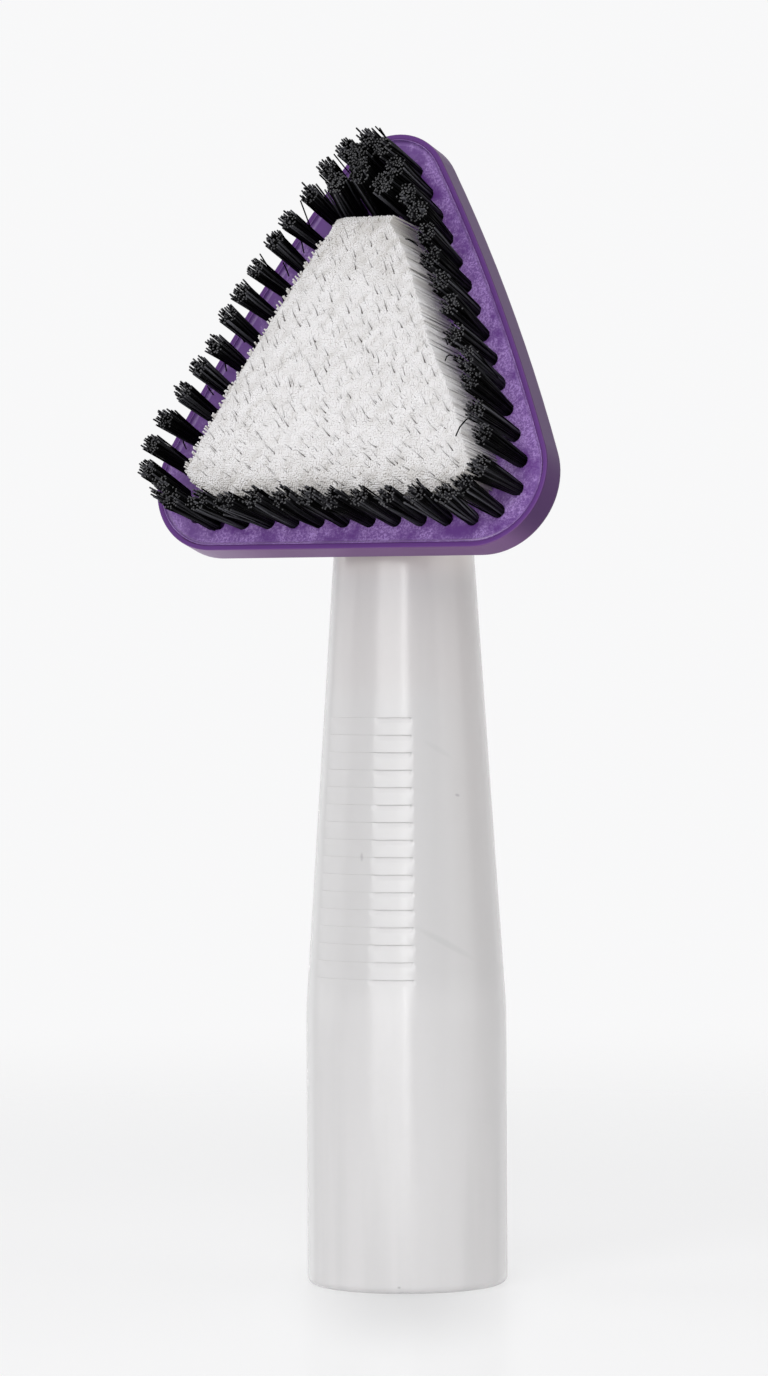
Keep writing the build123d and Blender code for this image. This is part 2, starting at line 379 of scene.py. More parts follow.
def plant(name, unit, roots, tips, bows, radii, shades):
    """A mesh of strands, each a copy of the unit one; a shade above 1 marks one that tapers to its tip."""
    points, faces, flat, cut_end = unit
    along = tips - roots
    length = np.linalg.norm(along, axis=1, keepdims=True)
    axis = along / length
    side = np.cross(axis, HEAD_U)
    side /= np.linalg.norm(side, axis=1, keepdims=True)
    other = np.cross(axis, side)
    reach = points[:, 2]
    centre = roots[:, None] + along[:, None] * reach[None, :, None]
    centre += bows[:, None] * (4 * reach * (1 - reach))[None, :, None]
    ring = side[:, None] * points[None, :, 0, None] + other[:, None] * points[None, :, 1, None]
    taper = 1 - HAIR_TAPER * (shades > 1)[:, None] * reach[None, :]
    placed = (centre + ring * (radii[:, None] * taper)[:, :, None]).reshape(-1, 3)
    count, each = len(roots), len(points)
    made = bpy.data.meshes.new(name)
    starts = np.arange(count) * each
    all_faces = [tuple(start + index for index in face) for start in starts.tolist() for face in faces]
    made.from_pydata(placed, [], all_faces)
    made.polygons.foreach_set("use_smooth", np.tile(np.logical_not(flat), count))
    for label, domain, values in (
        ("along", "POINT", np.tile(reach, count)),
        ("shade", "POINT", np.repeat(shades, each)),
        ("cut_end", "FACE", np.tile(cut_end, count)),
    ):
        made.attributes.new(label, "FLOAT", domain).data.foreach_set("value", values.astype(np.float32))
    made.validate()
    return add_piece(name, made)


def sunflower(count, start):
    """Places spread evenly over a disc of radius 1, turned by a starting angle."""
    index = np.arange(count) + 0.5
    angle = index * GOLDEN_TURN + start
    return np.column_stack((np.cos(angle), np.sin(angle))) * np.sqrt(index / count)[:, None]


# Waves a metre in the grain that the moulded plastics share
GRAIN = 2600
# The photograph's right
PHOTO_RIGHT = (0.866, 0.5, 0)
# Heights in metres between which the handle's streaks, its painted shade and its painted light come in
FOOT = (0.006, 0.05)
GRIP_START = (0.048, 0.056)
GRIP_END = (0.1, 0.106)
WARMTH = (0.04, 0.1)
UNDER_HEAD = (0.084, 0.112)
NECK = (0.118, 0.128)
TOP_STRIP = (0.121, 0.129)
# How far the handle turns to the side where its painted bright edges and its painted warm shade come in
BRIGHT_EDGE = (0.9, 0.97)
WARM_SIDE = (0.25, 0.85)
# Faint scuffs on the handle: their middle, their reach, their turn in degrees and their strength
SCUFFS = (
    ((0.0117, -0.0087, 0.0934), (0.004, 0.004, 0.0007), (0, 30, 55), 0.13),
    ((0.0133, -0.0097, 0.0602), (0.008, 0.005, 0.0008), (0, 28, 52), 0.2),
    ((0.0138, -0.0060, 0.0855), (0.0005, 0.0008, 0.0003), (0, 40, 0), 0.8),
    ((0.0003, -0.0157, 0.0750), (0.0004, 0.0010, 0.0010), (0, 0, 0), 0.6),
    ((0.0074, -0.0161, 0.0012), (0.0004, 0.0008, 0.0003), (0, 0, 0), 0.9),
)
SCUFF_EDGE = (0.3, 1.0)
SCUFF_TONE = 0.62


def handle_plastic(tint):
    """Milky translucent plastic with a satin skin; painted shade under the head, over the grip and, warmer,
    on its right, and painted light on its edges and just under the head.
    """
    paint = Paint("handle_plastic")
    where = paint.place()
    grain = paint.noise(where, GRAIN)
    streaks = paint.noise(paint.place((1, 1, 0.05)), 190, 3).ramp(0.35, 0.65)
    height = paint.part(where, "Z")
    side = paint.facing(PHOTO_RIGHT)
    tone = paint.blend(streaks * (0.35 + (1 - height.ramp(*FOOT)) * 0.65), toned(tint, 0.94), tint)
    for mask, factors in (
        # Painted shade under the head
        (height.ramp(*UNDER_HEAD) * 0.9 - height.ramp(*NECK) * 0.8, (0.865, 0.85, 0.845)),
        # Painted shade over the grip steps
        ((height.ramp(*GRIP_START) - height.ramp(*GRIP_END)) * 0.95, 0.9),
        # Painted shade, darker and warmer, on the right side
        (side.ramp(*WARM_SIDE) * (0.2 + height.ramp(*WARMTH) * 0.45), (0.88, 0.85, 0.84)),
        # Painted light on the strip just under the head, lifting the head's shadow
        (height.ramp(*TOP_STRIP), (1.16, 1.1, 1.05)),
        # Painted light along both edges, stronger on the left
        ((0 - side).ramp(*BRIGHT_EDGE) * 0.8 + side.ramp(*BRIGHT_EDGE) * 0.35, 1.2),
    ):
        tone = paint.blend(mask, tone, toned(tint, factors))
    for centre, reach, degrees, strength in SCUFFS:
        angles = [radians(angle) for angle in degrees]
        scuff = 1 - paint.patch(where, centre, angles, reach).ramp(*SCUFF_EDGE)
        tone = paint.blend(scuff * strength, tone, toned(tint, SCUFF_TONE))
    return paint.surface({
        "Base Color": tone,
        "Roughness": 0.13 + grain * 0.16,
        "IOR": 1.49,
        "Specular IOR Level": 0.8,
        "Transmission Weight": 0.4,
        "Normal": paint.bump(grain, 0.16, 0.02 * MM),
    })


# Heights in metres between which the plate's bloom and its painted shade and light change
PLATE_LOW = (0.126, 0.14)
PLATE_MIDDLE = (0.134, 0.152)
PLATE_TIP = (0.184, 0.2)
PLATE_FRONT = (0.134, 0.144)
# Places across the head between which the bloom's painted light and the fillet's painted glint grow to the
# right
BLOOM_ACROSS = (-0.012, 0.012)
GLINT_ACROSS = (0.02, 0.032)
# The clouds and the grains that the bloom takes
BLOOM_CLOUDS = (0.38, 0.68)
BLOOM_GRAINS = (0.38, 0.66)
# How well the painted glint's line faces out of the head
GLINT_START = (0.55, 0.7)
GLINT_END = (0.8, 0.95)


def plate_plastic(name, shell, bloom, glint=None):
    """Deep purple plastic with a pale, finely grained bloom and a wavy skin; the bloom carries painted shade
    on the left and painted light on the right, thins at the tip and thickens low down; the fillet has a
    painted glint too.
    """
    paint = Paint(name)
    where = paint.place()
    clouds = paint.noise(where, 240, 4, 0.65)
    grains = paint.noise(where, GRAIN, 2, 0.8)
    swell = paint.noise(where, 230)
    height, across = paint.part(where, "Z"), paint.part(where, "X")
    # Painted shade on the left and painted light on the right; less bloom at the tip and more low down
    drift = (across.ramp(*BLOOM_ACROSS) * 0.2 - 0.11) * height.ramp(*PLATE_MIDDLE)
    drift = drift - height.ramp(*PLATE_TIP) * 0.2 + (1 - height.ramp(*PLATE_LOW)) * 0.05
    mask = (clouds + 0.02 + drift).ramp(*BLOOM_CLOUDS) * (0.2 + grains.ramp(*BLOOM_GRAINS) * 0.9)
    tone = paint.blend(mask, shell, bloom)
    if glint:
        # Painted highlight: a pale line along the fillet where it faces out of the head, stronger to the
        # right
        lift = paint.facing(tuple(HEAD_D))
        line = (lift.ramp(*GLINT_START) - lift.ramp(*GLINT_END)) * (1 - height.ramp(*PLATE_FRONT))
        tone = paint.blend(line * (0.14 + across.ramp(*GLINT_ACROSS) * 0.8), tone, glint)
    return paint.surface({
        "Base Color": tone,
        "Roughness": 0.28 + grains * 0.14,
        "IOR": 1.5,
        "Specular IOR Level": 0.4,
        "Normal": paint.bump(swell, 0.6, 0.5 * MM),
    })


# Which way the shell's rim, its painted light underneath and its painted shade on the right face, from 0
# across to 1 straight out, down or right
RIM_FACING = (0.55, 0.95)
UNDER_FACING = (0.3, 0.8)
RIGHT_FACING = (0.4, 0.85)
# Where the painted light on the left end of the shell's lower wall fades, in metres across
LEFT_END = (-0.032, -0.012)


def shell_plastic(shell, wall):
    """The moulded shell: saturated on its front rim, greyer and finely grained on its walls, with painted
    light on the lower wall's left end and painted shade on walls that face right.
    """
    paint = Paint("shell_plastic")
    where = paint.place()
    normal = paint.normal()
    grains = paint.noise(where, 3600, 2, 0.8)
    clouds = paint.noise(where, 120, 3)
    worn = paint.blend(grains * 0.5 + clouds * 0.5, toned(wall, 0.8), toned(wall, 1.4))
    # Painted light on the downward-facing left end of the lower wall
    left = 1 - paint.part(where, "X").ramp(*LEFT_END)
    under = (0 - paint.part(normal, "Z")).ramp(*UNDER_FACING)
    worn = paint.blend(left * under, worn, toned(wall, (2.1, 3.2, 1.95)))
    # Painted shade on the walls that face right
    right = paint.part(normal, "X").ramp(*RIGHT_FACING) * 0.85
    worn = paint.blend(right, worn, toned(wall, (0.34, 0.22, 0.45)))
    return paint.surface({
        "Base Color": paint.blend(paint.facing(tuple(HEAD_D)).ramp(*RIM_FACING), worn, shell),
        "Roughness": 0.34 + grains * 0.16,
        "IOR": 1.5,
        "Specular IOR Level": 0.12,
        "Normal": paint.bump(grains, 0.1, 0.02 * MM),
    })


# How warm a filament's deep tone is, which on the white face is its painted shade,
# and how much of a dark hair's darkness is lost at its tip
DEEP_WARMTH = (1.04, 1.0, 0.93)
STAIN_FADE = 0.55


def filament(name, body, cut, stain, gloss, roughness, low, high):
    """Filaments with paler cut ends; shade paints highlights on black strands and shade on the white face,
    and above 1 marks a dark hair.
    """
    paint = Paint(name)
    shade = paint.attribute("shade")
    clouds = paint.noise(paint.place(), 420, 3).ramp(0.3, 0.65)
    # Painted light and shade: each strand's shade, mottled, between its deep tone and its light one
    light = shade * (0.8 + clouds * 0.2)
    deep = toned(toned(body, low), DEEP_WARMTH)
    side = paint.blend(light.math("MINIMUM", 1), deep, toned(body, high))
    ended = paint.blend(paint.attribute("cut_end") * (0.4 + clouds * 0.6), side, cut)
    # Painted shade: dark hairs, fading towards their tips
    stained = (shade - 1).math("MAXIMUM", 0, clamp=True) * (1 - paint.attribute("along") * STAIN_FADE)
    return paint.surface({
        "Base Color": paint.blend(stained, ended, stain),
        "Roughness": roughness + clouds * 0.08,
        "IOR": 1.5,
        "Specular IOR Level": gloss,
    })


class BRUSH_OT_stage(bpy.types.Operator):
    """Lay the pale floor, light the brush and set the photograph's camera"""

    bl_idname = "brush.stage"
    bl_label = "Stage and camera"

    floor_size = 12
    # How much of the floor glows, and how strongly, so that it stays as pale as the backdrop
    floor_glow, glow_strength = 0.58, 1.1
    floor_sheen, sheen_roughness = 0.1, 0.2
    # How far from the brush the floor fades into the backdrop, in metres
    floor_fade = (0.15, 0.6)
    # The soft shade in front of the brush: its middle, its turn and its reach, and then its tone
    soft_shade = (0.0088, -0.0152, 0), (0, 0, radians(30)), (0.024, 0.09, 1)
    shade_tone = 0.69
    ambient = 0.4
    lamps_aim = Vector((0, 0, 0.1))
    # Area lamps: name, turn and rise in degrees, distance, width and height in metres, power in watts
    lamp_list = (
        ("key_softbox", 12, 18, 1.1, 0.98, 1.2, 8.5),
        ("strip_light", 29, 15, 1.0, 0.12, 0.9, 1.05),
        ("fill_left", -75, 20, 1.2, 0.9, 1.2, 2.5),
        ("fill_right", 100, 20, 1.2, 0.9, 1.2, 2.2),
        ("back_right", 150, 35, 1.3, 1.0, 1.0, 1.8),
    )

    def execute(self, context):
        settings = context.scene.brush_stage
        pale = settings.background
        self.floor(pale)
        self.world(context, pale)
        self.lamps(context)
        self.camera(context, settings)
        context.scene.view_settings.view_transform = "Standard"
        return {"FINISHED"}

    def floor(self, pale):
        deselect()
        bpy.ops.mesh.primitive_plane_add(size=self.floor_size, location=(0, 0, 0))
        floor = bpy.context.object
        floor.name = "floor"
        paint = Paint("floor_paper")
        where = paint.place()
        paper = paint.blend(paint.noise(where, 9), toned(pale, 0.99), pale)
        matt = paint.node("BsdfDiffuse", {"Color": paper})
        shade = paint.patch(where, *self.soft_shade).ramp(0.0, 1.0)
        shaded = paint.blend(shade, toned(pale, self.shade_tone), pale)
        glow = paint.node("Emission", {"Color": shaded, "Strength": self.glow_strength})
        lit = paint.node("MixShader", {"Fac": self.floor_glow, 1: matt, 2: glow})
        sheen = paint.node("BsdfGlossy", {"Color": rgba(pale), "Roughness": self.sheen_roughness})
        waxed = paint.node("MixShader", {"Fac": self.floor_sheen, 1: lit, 2: sheen})
        clear = paint.node("BsdfTransparent")
        fade = paint.length(where).ramp(*self.floor_fade)
        paint.finish(paint.node("MixShader", {"Fac": fade, 1: waxed, 2: clear}))
        floor.data.materials.append(paint.owner)

    def world(self, context, pale):
        paint = Paint("studio", "worlds")
        rays = ("Is Camera Ray", "Is Glossy Ray", "Is Transmission Ray")
        seen, *others = (paint.node("LightPath", output=ray) for ray in rays)
        for ray in others:
            seen = seen.math("ADD", ray, clamp=True)
        plain = paint.node("Background", {"Color": rgba((1, 1, 1)), "Strength": self.ambient})
        shown = paint.node("Background", {"Color": rgba(pale)})
        both = paint.node("MixShader", {0: seen, 1: plain, 2: shown})
        paint.finish(both, "OutputWorld")
        context.scene.world = paint.owner

    def lamps(self, context):
        for name, around, rise, away, width, tall, power in self.lamp_list:
            light = bpy.data.lights.new(name, "AREA")
            light.shape = "RECTANGLE"
            light.size = width
            light.size_y = tall
            light.energy = power
            lamp = bpy.data.objects.new(name, light)
            bearing, lifted = radians(around), radians(rise)
            aim = Vector((sin(bearing) * cos(lifted), -cos(bearing) * cos(lifted), sin(lifted)))
            lamp.location = self.lamps_aim + aim * away
            lamp.rotation_euler = aim.to_track_quat("Z", "Y").to_euler()
            context.scene.collection.objects.link(lamp)

    def camera(self, context, settings):
        bearing = settings.view_turn
        right = Vector((cos(bearing), sin(bearing), 0))
        back = Vector((sin(bearing), -cos(bearing), 0))
        camera = bpy.data.objects.new("camera", bpy.data.cameras.new("camera"))
        camera.data.sensor_width = 36
        camera.data.lens = settings.lens
        camera.data.clip_start = 0.01
        camera.location = back * settings.view_distance - right * settings.view_left
        camera.location.z = settings.view_height
        pitched = back * cos(settings.view_pitch) + Vector((0, 0, sin(settings.view_pitch)))
        upright = pitched.to_track_quat("Z", "Y").to_matrix()
        camera.rotation_euler = (upright @ Matrix.Rotation(-settings.view_roll, 3, "Z")).to_euler()
        context.scene.collection.objects.link(camera)
        context.scene.camera = camera


class BRUSH_OT_handle(bpy.types.Operator):
    """Spin the tapered tube and press its grip steps"""

    bl_idname = "brush.handle"
    bl_label = "Handle"

    segments = 240
    grip_sweep = radians(68)
    # A step's hollow: how far below the ledge in mm, and its share of the full depth
    step_profile = (
        (2.9, 0), (2, 0.06), (1.06, 0.18), (0.96, 0.24), (0.5, 0.62), (0.12, 0.96), (0.05, 1), (0.02, 0),
    )
    # The steps are deep from this bearing to the right, and shallow to the left of it
    deep_from = radians(9)
    shallow_share = 0.3
    taper_blend = 2.5 * MM
    foot_round, foot_parts = 1.3 * MM, 6
    # Where the plain rings begin above the foot and above the steps, and how deep the cavity's bend lies
    above_foot, above_steps, cavity_drop = 4 * MM, 0.3 * MM, 2 * MM
    plug_chamfer = 1 * MM
    sharp_angle = radians(28)

    def execute(self, context):
        sizes = context.scene.brush_handle
        rings = self.outline(sizes)
        mesh = bpy.data.meshes.new("handle_tube")
        points = [(radius, 0, height) for radius, height, _ in rings]
        mesh.from_pydata(points, [(index, index + 1) for index in range(len(rings) - 1)], [])
        handle = add_piece("handle_tube", mesh)
        depth = mesh.attributes.new("press", "FLOAT", "POINT")
        depth.data.foreach_set("value", [press for _, _, press in rings])
        bpy.ops.object.mode_set(mode="EDIT")
        bpy.ops.mesh.select_all(action="SELECT")
        bpy.ops.mesh.spin(steps=self.segments, angle=2 * pi, center=(0, 0, 0), axis=(0, 0, 1))
        bpy.ops.mesh.select_all(action="SELECT")
        bpy.ops.mesh.remove_doubles(threshold=0.001 * MM)
        bpy.ops.mesh.normals_make_consistent(inside=False)
        bpy.ops.object.mode_set(mode="OBJECT")
        self.press(handle)
        bpy.ops.object.shade_smooth_by_angle(angle=self.sharp_angle)
        finish_piece(handle, handle_plastic(sizes.tint), "handle_plastic", "handle")
        return {"FINISHED"}

    def outline(self, sizes):
        """The tube's section as rings of radius, height and how far the grip presses them in."""
        radius, wall = sizes.radius, sizes.wall
        straight, shoulder = sizes.straight_length, sizes.shoulder_height
        slope = (radius - sizes.shoulder_radius) / (shoulder - straight)
        blend = self.taper_blend

        def outer(height):
            past = height - straight
            if past <= -blend:
                return radius
            if past < blend:
                return radius - slope * (past + blend) ** 2 / (4 * blend)
            return radius - slope * past

        rings = [(radius - wall, 0.0, 0.0)]
        for angle in np.linspace(0, pi / 2, self.foot_parts + 1):
            inward, up = 1 - sin(angle), 1 - cos(angle)
            rings.append((radius - self.foot_round * inward, self.foot_round * up, 0.0))
        bend = np.linspace(straight - blend, straight + blend, 7)[1:]
        for height in (*np.linspace(self.above_foot, straight - blend, 10), *bend):
            rings.append((outer(height), height, 0.0))
        for step in range(sizes.step_count):
            ledge = sizes.step_first + step * sizes.step_pitch
            for drop, share in self.step_profile:
                height = ledge - drop * MM
                rings.append((outer(height), height, share * sizes.step_depth))
        for height in np.linspace(ledge + self.above_steps, shoulder, 12):
            rings.append((outer(height), height, 0.0))
        plug, plug_top = sizes.plug_radius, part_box("handle")[1].z
        rings += [
            (plug, shoulder, 0.0),
            (plug, plug_top - self.plug_chamfer, 0.0),
            (plug - self.plug_chamfer, plug_top, 0.0),
            (0.0, plug_top, 0.0),
            (0.0, plug_top - wall, 0.0),
            (plug - wall, plug_top - wall, 0.0),
            (plug - wall, shoulder, 0.0),
            (sizes.shoulder_radius - wall, shoulder - wall, 0.0),
            (radius - wall, straight - self.cavity_drop, 0.0),
            (radius - wall, 0.0, 0.0),
        ]
        return rings

    def press(self, handle):
        """Moves the grip's rings inwards on the front of the handle."""
        mesh = handle.data
        depth = mesh.attributes["press"].data
        for vertex in mesh.vertices:
            bearing = atan2(vertex.co.x, -vertex.co.y)
            pressed = depth[vertex.index].value * (1 if bearing > self.deep_from else self.shallow_share)
            if pressed > 0 and abs(bearing) < self.grip_sweep / 2:
                flat = Vector((vertex.co.x, vertex.co.y, 0))
                vertex.co -= flat.normalized() * pressed
        mesh.attributes.remove(mesh.attributes["press"])


class BRUSH_OT_head(bpy.types.Operator):
    """Paint the purple head shell and the bristle plate"""

    bl_idname = "brush.head"
    bl_label = "Head shell and bristle plate"

    radius = 0.78 * MM
    # How far the fillet's ring reaches under the plate's face and into the rim
    tuck, overlap = 0.1 * MM, 0.12 * MM
    curve_points = 6
    outline_turns = 1440
    paler_share = 0.2
    sharp_angle = radians(40)

    def execute(self, context):
        colours = context.scene.brush_head
        repaint("head_shell", shell_plastic(colours.rim, colours.wall))
        repaint("bristle_plate", plate_plastic("plate_plastic", colours.shell, colours.bloom))
        paler = Vector(colours.shell).lerp(Vector(colours.bloom), self.paler_share)
        self.fillet(plate_plastic("fillet_plastic", paler, colours.bloom, colours.glint))
        return {"FINISHED"}

    def fillet(self, plate):
        """The hollow fillet that joins the plate to the inside of the rim."""
        points = to_head(node_points("bristle_plate"))
        face = points[:, 2].max()
        outline = points[points[:, 2] > face - self.tuck / 2][:, :2]
        angles = np.linspace(0, 2 * pi, self.outline_turns, endpoint=False)
        ways = np.column_stack((np.cos(angles), np.sin(angles)))
        furthest = np.argmax(ways @ outline.T, axis=1)
        corners = [index for at, index in enumerate(furthest) if index != furthest[at - 1]]
        edge = outline[corners]
        out = np.array([ways[furthest == index].mean(axis=0) for index in corners])
        out /= np.linalg.norm(out, axis=1, keepdims=True)
        curve = [
            (-self.radius * (1 - sin(angle)), self.radius * (1 - cos(angle)))
            for angle in np.linspace(0, pi / 2, self.curve_points)
        ]
        back = [(self.overlap, self.radius), (self.overlap, -self.tuck)]
        rings = [
            np.column_stack((edge + out * shift, np.full(len(edge), face + lift)))
            for shift, lift in [(-self.radius, -self.tuck), *curve, *back]
        ]
        here = np.arange(len(rings) * len(edge)).reshape(len(rings), -1)
        there = np.roll(here, -1, axis=0)
        quads = here, np.roll(here, -1, axis=1), np.roll(there, -1, axis=1), there
        faces = np.stack(quads, axis=-1).reshape(-1, 4).tolist()
        made = bpy.data.meshes.new("plate_fillet")
        made.from_pydata(from_head(np.concatenate(rings)), [], faces)
        piece = add_piece("plate_fillet", made)
        bpy.ops.object.mode_set(mode="EDIT")
        bpy.ops.mesh.select_all(action="SELECT")
        bpy.ops.mesh.normals_make_consistent(inside=False)
        bpy.ops.object.mode_set(mode="OBJECT")
        bpy.ops.object.shade_smooth_by_angle(angle=self.sharp_angle)
        finish_piece(piece, plate, "head_plastic")


class BRUSH_OT_screw(bpy.types.Operator):
    """Paint the screw that holds the sleeve"""

    bl_idname = "brush.screw"
    bl_label = "Neck screw"

    def execute(self, context):
        paint = Paint("screw_steel")
        lines = paint.noise(paint.place((1, 0.05, 1)), 2200, 3)
        repaint("neck_screw", paint.surface({
            "Base Color": rgba(context.scene.brush_head.steel),
            "Metallic": 1.0,
            "Roughness": 0.24 + lines * 0.2,
            "Normal": paint.bump(lines, 0.15, 0.02 * MM),
        }))
        return {"FINISHED"}


class BRUSH_OT_black_tufts(bpy.types.Operator):
    """Plant the long black tufts round the edge and in the tip"""

    bl_idname = "brush.black_tufts"
    bl_label = "Black tufts"

    # For each row, how untidy it is, how widely its tufts open and how few of its strands get a painted
    # highlight, and then where its tufts' ends are cut, from the top down or the left, as (u, v) in mm
    rows = {
        "black_row_right": ((1.2, 1.02, 6), (
            (4.9, 67.9), (8.2, 64.3), (11.5, 59.2), (14.0, 56.1), (16.2, 51.9), (17.9, 47.4), (20.4, 42.8),
            (22.9, 38.7), (24.6, 33.8), (27.4, 29.3), (28.8, 25.2), (30.5, 20.4), (32.4, 15.5), (32.5, 9.8),
        )),
        "black_row_bottom": ((2.0, 1.0, 5), (
            (-29.7, 7.6), (-27.0, 5.1), (-21.6, 5.1), (-15.9, 5.0), (-10.6, 5.3), (-5.2, 5.3), (0.1, 5.4),
            (5.3, 5.0), (10.7, 5.0), (16.1, 5.3), (21.5, 5.4), (26.7, 5.3), (30.3, 6.8),
        )),
        "black_row_left": ((0.8, 0.92, 6), (
            (-2.4, 68.1), (-5.6, 64.6), (-8.2, 60.2), (-11.3, 55.7), (-13.7, 51.9), (-16.5, 46.9),
            (-19.3, 42.7), (-21.0, 38.6), (-22.9, 33.2), (-25.5, 29.4), (-28.0, 24.8), (-30.6, 20.0),
            (-32.5, 15.5), (-32.8, 11.3),
        )),
        "black_apex_group": ((1.5, 0.92, 8), (
            (1.5, 70.2), (0.6, 67.0), (6.5, 61.2), (1.4, 63.7), (-3.0, 61.8),
        )),
    }
    # The tip's inner tufts stand wider apart and are fuller, at the root, in strands and at the end
    inner_gap = 1 * MM
    inner_stretch = np.array((1.3, 1.0))
    inner_fill = (2.0, 1.8, 1.15)
    # How a strand's end strays, bends, rises and runs wild
    lean_spread, end_spread, bow_spread = 0.12 * MM, 0.08 * MM, 0.06 * MM
    tuft_rise, strand_rise = 0.1 * MM, 0.24 * MM
    reach_spread = (0.94, 1.06)
    wild_share, wild_spread = 0.06, 0.5 * MM
    stray_thickness = 0.4
    # Hairs away from their tufts: their foot, their end and their bow, in mm
    stray_hairs = (
        ((13.2, 50.8, 9.6), (10.4, 52.3, 9.2), (0.0, 0.2, 0.2)),
        ((21.8, 32.7, 9.6), (20.5, 33.9, 9.2), (0.1, 0.4, 0.3)),
        ((23.1, 30.7, 9.6), (21.5, 30.0, 9.2), (-0.2, 0.4, 0.2)),
        ((28.9, 19.8, 10.2), (25.6, 16.6, 9.2), (-0.3, 0.3, 0.2)),
        ((-11.9, 53.4, -0.9), (-9.6, 58.8, 12.6), (0.0, -0.2, 0.0)),
        ((-5.6, 66.0, -0.9), (-4.2, 67.1, 12.6), (0.0, -0.2, 0.0)),
        ((1.4, 71.2, -0.9), (3.3, 71.8, 12.6), (0.0, 0.1, 0.0)),
        ((-15.2, 49.9, -0.9), (-12.9, 53.5, 12.6), (0.3, 0.3, 0.0)),
        ((-18.3, 45.0, -0.9), (-16.2, 49.4, 12.6), (0.3, 0.3, 0.0)),
        ((-15.3, 56.4, 2.0), (-15.4, 54.2, 0.1), (0.0, 0.0, 0.1)),
        ((-18.2, 51.9, 2.0), (-17.8, 50.0, 0.1), (0.1, 0.0, 0.1)),
        ((-25.2, 38.8, 2.0), (-24.8, 38.0, 0.1), (0.0, 0.1, 0.1)),
        ((-27.2, 34.3, 2.0), (-27.7, 32.8, 0.1), (0.0, 0.0, 0.1)),
        ((-29.9, 29.4, 2.0), (-29.7, 28.5, 0.1), (0.0, 0.0, 0.1)),
        ((-33.7, 20.6, 2.0), (-33.6, 18.6, 0.1), (-0.1, 0.0, 0.1)),
    )

    def execute(self, context):
        sizes = context.scene.brush_bristles
        colours = sizes.black, sizes.black_end, sizes.black
        skin = filament("black_filament", *colours, gloss=0.02, roughness=0.3, low=0.5, high=42)
        unit = unit_strand(sides=7, cuts=2, chamfer=0.6)
        rng = np.random.default_rng(11)
        for node, (habit, ends) in self.rows.items():
            places = tuft_places(node)
            if node == "black_row_bottom":
                places = places[np.argsort(places[:, 0])]
            parts = []
            for place, end in zip(places, np.array(ends) * MM):
                inner = node == "black_apex_group" and place[1] < places[:, 1].max() - self.inner_gap
                foot = place * self.inner_stretch if inner else place
                fill = self.inner_fill if inner else (1, 1, 1)
                parts.append(self.tuft(foot, end, sizes, rng, habit, fill))
            if node == "black_row_right":
                parts.append(self.strays(sizes))
            roots, tips, bows, radii, shades = (np.concatenate(part) for part in zip(*parts))
            piece = plant(node + "_tufts", unit, from_head(roots), from_head(tips), bows, radii, shades)
            finish_piece(piece, skin, "black_bristle", node)
        return {"FINISHED"}

    def strays(self, sizes):
        """The hairs away from their tufts, in the form of a tuft."""
        roots, tips, bows = (np.array(part) * MM for part in zip(*self.stray_hairs))
        count = len(roots)
        radii = np.full(count, sizes.black_filament * self.stray_thickness)
        return roots, tips, from_head(bows) - HEAD_ORIGIN, radii, np.zeros(count)

    def tuft(self, place, end, sizes, rng, habit, fill):
        """One tuft's strands: roots, tips, bows, radii and shades."""
        mess, spread, dullness = habit
        root_fill, strand_fill, end_fill = fill
        count = int(sizes.black_strands * spread * strand_fill)
        thick = sizes.black_filament / 2
        disc = sunflower(count, rng.uniform(0, 2 * pi))
        roots = np.full((count, 3), -ROOT_DEPTH)
        tips = np.full((count, 3), sizes.black_height)
        roots[:, :2] = place + disc * (sizes.black_root - thick) * root_fill
        lean = rng.normal(0, self.lean_spread, 2)
        reach = (sizes.black_tip - thick) * rng.uniform(*self.reach_spread) * spread * end_fill
        tips[:, :2] = end + lean + disc * reach + rng.normal(0, self.end_spread * mess, (count, 2))
        tips[:, 2] += rng.normal(0, self.tuft_rise) + rng.normal(0, self.strand_rise, count)
        wild = rng.random(count) < self.wild_share
        tips[wild, :2] += rng.normal(0, self.wild_spread, (wild.sum(), 2))
        bows = rng.normal(0, self.bow_spread * mess, (count, 3))
        # A few strands lighter: painted highlight lines
        return roots, tips, bows, np.full(count, thick), rng.random(count) ** dullness


def near(distance, reach):
    """1 at a border, falling to 0 at its reach."""
    return np.clip(1 - distance / reach, 0, 1)


